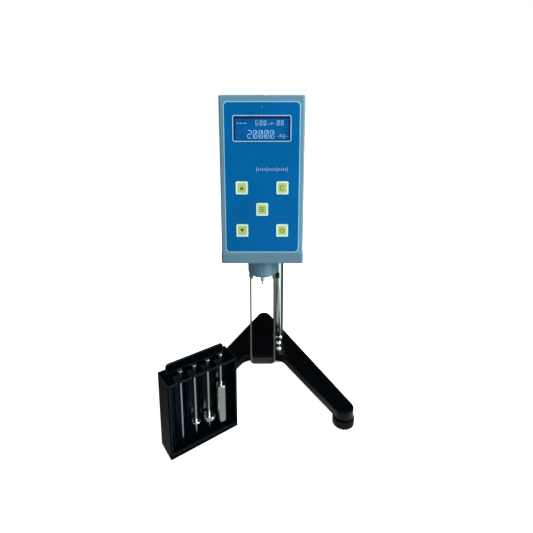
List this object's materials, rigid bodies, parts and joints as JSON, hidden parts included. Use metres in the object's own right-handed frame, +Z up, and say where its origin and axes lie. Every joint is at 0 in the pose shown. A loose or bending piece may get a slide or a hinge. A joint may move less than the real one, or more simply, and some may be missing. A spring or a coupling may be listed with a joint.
{
  "type": "rotational viscometer",
  "caption": "Bench rotational viscometer: blue head with keypad and display on a rack column, V base on levelling feet, spindle guard and a case of spindles.",
  "frame": {"origin": "middle of the whole footprint, at bench height", "axes": "+Z up, +Y from the keypad side to the column side, +X to the right as the keypad is read"},
  "size_m": [0.266, 0.3157, 0.4598],
  "materials": {
    "aluminium": "milled",
    "base_black": "gloss black enamel on cast metal",
    "black_plastic": "satin black moulded plastic",
    "board_green": "glass-fibre board",
    "bracket_paint": "satin black",
    "brass": "turned",
    "bright_screw": "bright zinc",
    "case_black": "moulded",
    "chassis_paint": "steel-blue paint",
    "chrome": "polished",
    "cup_paint": "steel-blue paint",
    "dark_screw": "black oxide",
    "display": "blue liquid crystal",
    "guard_steel": "rolled strip",
    "head_paint": "light steel-blue paint",
    "key": "pale yellow-green film",
    "led": "tinted lens",
    "level_glass": "tinted vial",
    "motor_can": "plated",
    "overlay_blue": "printed polyester film",
    "panel_paint": "steel-blue paint",
    "rack_steel": "milled",
    "rubber": "matt",
    "steel": "turned",
    "window": "clear acrylic"
  },
  "bodies": {
    "stand": {"base": "base_black", "column": "chrome", "column_collar": "chrome", "column_foot_plate": "steel", "column_clamp_screws": "bright_screw", "column_rack": "rack_steel"},
    "left_pad": {"left_foot_pad": "rubber"},
    "left_knob": {"left_foot_knob": "black_plastic"},
    "right_pad": {"right_foot_pad": "rubber"},
    "right_knob": {"right_foot_knob": "black_plastic"},
    "rear_pad": {"rear_foot_pad": "rubber"},
    "rear_knob": {"rear_foot_knob": "black_plastic"},
    "head": {"lift_bracket": "bracket_paint", "bracket_screws": "dark_screw", "pinion_bush": "brass", "chassis_plate": "chassis_paint", "head_cover": "head_paint", "rear_panel": "panel_paint", "rear_panel_screws": "dark_screw", "power_switch_body": "black_plastic", "power_inlet": "black_plastic", "serial_socket": "aluminium", "main_board": "board_green", "front_overlay": "overlay_blue", "display_window": "window", "status_led": "led", "front_board": "board_green", "display_module": "board_green", "display_glass": "display", "drive_pillars": "steel", "gear_plate": "aluminium", "gear_motor": "motor_can", "pivot_bearing": "brass", "encoder_reader": "black_plastic", "bubble_level_cup": "aluminium", "bubble_level_glass": "level_glass", "pivot_cup": "cup_paint", "spindle_guard": "guard_steel", "guard_screws": "dark_screw"},
    "pinion": {"pinion_shaft": "steel", "lift_knob": "black_plastic"},
    "lock": {"lock_knob": "black_plastic"},
    "rocker": {"power_rocker": "black_plastic"},
    "left_upper_key_cap": {"left_upper_key": "key"},
    "right_upper_key_cap": {"right_upper_key": "key"},
    "middle_key_cap": {"middle_key": "key"},
    "left_lower_key_cap": {"left_lower_key": "key"},
    "right_lower_key_cap": {"right_lower_key": "key"},
    "drive": {"drive_shaft": "steel", "drive_encoder_disc": "aluminium", "torque_spring": "rack_steel"},
    "pivot": {"pivot_shaft": "steel", "pivot_encoder_disc": "aluminium", "spindle_coupling": "steel"},
    "rack_case": {"spindle_case": "case_black", "case_channels": "case_black"},
    "rod_spindle_body": {"rod_spindle": "steel"},
    "thin_disc_spindle_body": {"thin_disc_spindle": "steel"},
    "thick_disc_spindle_body": {"thick_disc_spindle": "steel"},
    "cylinder_spindle_body": {"cylinder_spindle": "steel"}
  },
  "joints": [
    {"name": "left_foot_height", "type": "slide", "parent": "stand", "child": "left_pad", "axis": [0, 0, 1], "range_m": [-0.004, 0.002]},
    {"name": "left_foot_turn", "type": "hinge", "parent": "left_pad", "child": "left_knob", "pos_m": [-0.11275, -0.0957, 0.008], "axis": [0, 0, 1], "range_deg": [-577, 1153]},
    {"name": "right_foot_height", "type": "slide", "parent": "stand", "child": "right_pad", "axis": [0, 0, 1], "range_m": [-0.004, 0.002]},
    {"name": "right_foot_turn", "type": "hinge", "parent": "right_pad", "child": "right_knob", "pos_m": [0.11785, -0.0957, 0.008], "axis": [0, 0, 1], "range_deg": [-577, 1153]},
    {"name": "rear_foot_height", "type": "slide", "parent": "stand", "child": "rear_pad", "axis": [0, 0, 1], "range_m": [-0.004, 0.002]},
    {"name": "rear_foot_turn", "type": "hinge", "parent": "rear_pad", "child": "rear_knob", "pos_m": [0.00255, 0.1401, 0.008], "axis": [0, 0, 1], "range_deg": [-577, 1153]},
    {"name": "head_lift", "type": "slide", "parent": "stand", "child": "head", "axis": [0, 0, 1], "range_m": [-0.055, 0.09]},
    {"name": "lift_knob_turn", "type": "hinge", "parent": "head", "child": "pinion", "pos_m": [0.02865, 0.09154, 0.2639], "axis": [1, 0, 0], "range_deg": [-451.18, 737.66]},
    {"name": "lock_turn", "type": "hinge", "parent": "head", "child": "lock", "pos_m": [0.00365, 0.0769, 0.2809], "axis": [-1, 0, 0], "range_deg": [-180, 0]},
    {"name": "power_switch_rock", "type": "hinge", "parent": "head", "child": "rocker", "pos_m": [0.03255, 0.0398, 0.3495], "axis": [1, 0, 0], "range_deg": [-20, 0]},
    {"name": "left_upper_key_press", "type": "slide", "parent": "head", "child": "left_upper_key_cap", "axis": [0, 1, 0], "range_m": [0, 0.0003], "stiffness_N_per_m": 1500, "springref_m": -0.0002},
    {"name": "right_upper_key_press", "type": "slide", "parent": "head", "child": "right_upper_key_cap", "axis": [0, 1, 0], "range_m": [0, 0.0003], "stiffness_N_per_m": 1500, "springref_m": -0.0002},
    {"name": "middle_key_press", "type": "slide", "parent": "head", "child": "middle_key_cap", "axis": [0, 1, 0], "range_m": [0, 0.0003], "stiffness_N_per_m": 1500, "springref_m": -0.0002},
    {"name": "left_lower_key_press", "type": "slide", "parent": "head", "child": "left_lower_key_cap", "axis": [0, 1, 0], "range_m": [0, 0.0003], "stiffness_N_per_m": 1500, "springref_m": -0.0002},
    {"name": "right_lower_key_press", "type": "slide", "parent": "head", "child": "right_lower_key_cap", "axis": [0, 1, 0], "range_m": [0, 0.0003], "stiffness_N_per_m": 1500, "springref_m": -0.0002},
    {"name": "drive_turn", "type": "hinge", "parent": "head", "child": "drive", "pos_m": [0.00255, -0.0459, 0.29], "axis": [0, 0, 1], "continuous": true},
    {"name": "torque_deflection", "type": "hinge", "parent": "drive", "child": "pivot", "pos_m": [0.00255, -0.0459, 0.25], "axis": [0, 0, 1], "range_deg": [-90, 0], "stiffness_Nm_per_rad": 0.0005},
    {"name": "case_draw", "type": "slide", "parent": "stand", "child": "rack_case", "axis": [0.5793, -0.8151, 0], "range_m": [0, 0.06]},
    {"name": "rod_spindle_lift", "type": "slide", "parent": "rack_case", "child": "rod_spindle_body", "axis": [0, 0, 1], "range_m": [0, 0.02]},
    {"name": "thin_disc_spindle_lift", "type": "slide", "parent": "rack_case", "child": "thin_disc_spindle_body", "axis": [0, 0, 1], "range_m": [0, 0.02]},
    {"name": "thick_disc_spindle_lift", "type": "slide", "parent": "rack_case", "child": "thick_disc_spindle_body", "axis": [0, 0, 1], "range_m": [0, 0.02]},
    {"name": "cylinder_spindle_lift", "type": "slide", "parent": "rack_case", "child": "cylinder_spindle_body", "axis": [0, 0, 1], "range_m": [0, 0.02]}
  ],
  "couplings": [
    {"joint": "left_foot_turn", "follows": "left_foot_height", "rad_per_m": -5026.5},
    {"joint": "right_foot_turn", "follows": "right_foot_height", "rad_per_m": -5026.5},
    {"joint": "rear_foot_turn", "follows": "rear_foot_height", "rad_per_m": -5026.5},
    {"joint": "lift_knob_turn", "follows": "head_lift", "rad_per_m": 142.86}
  ]
}
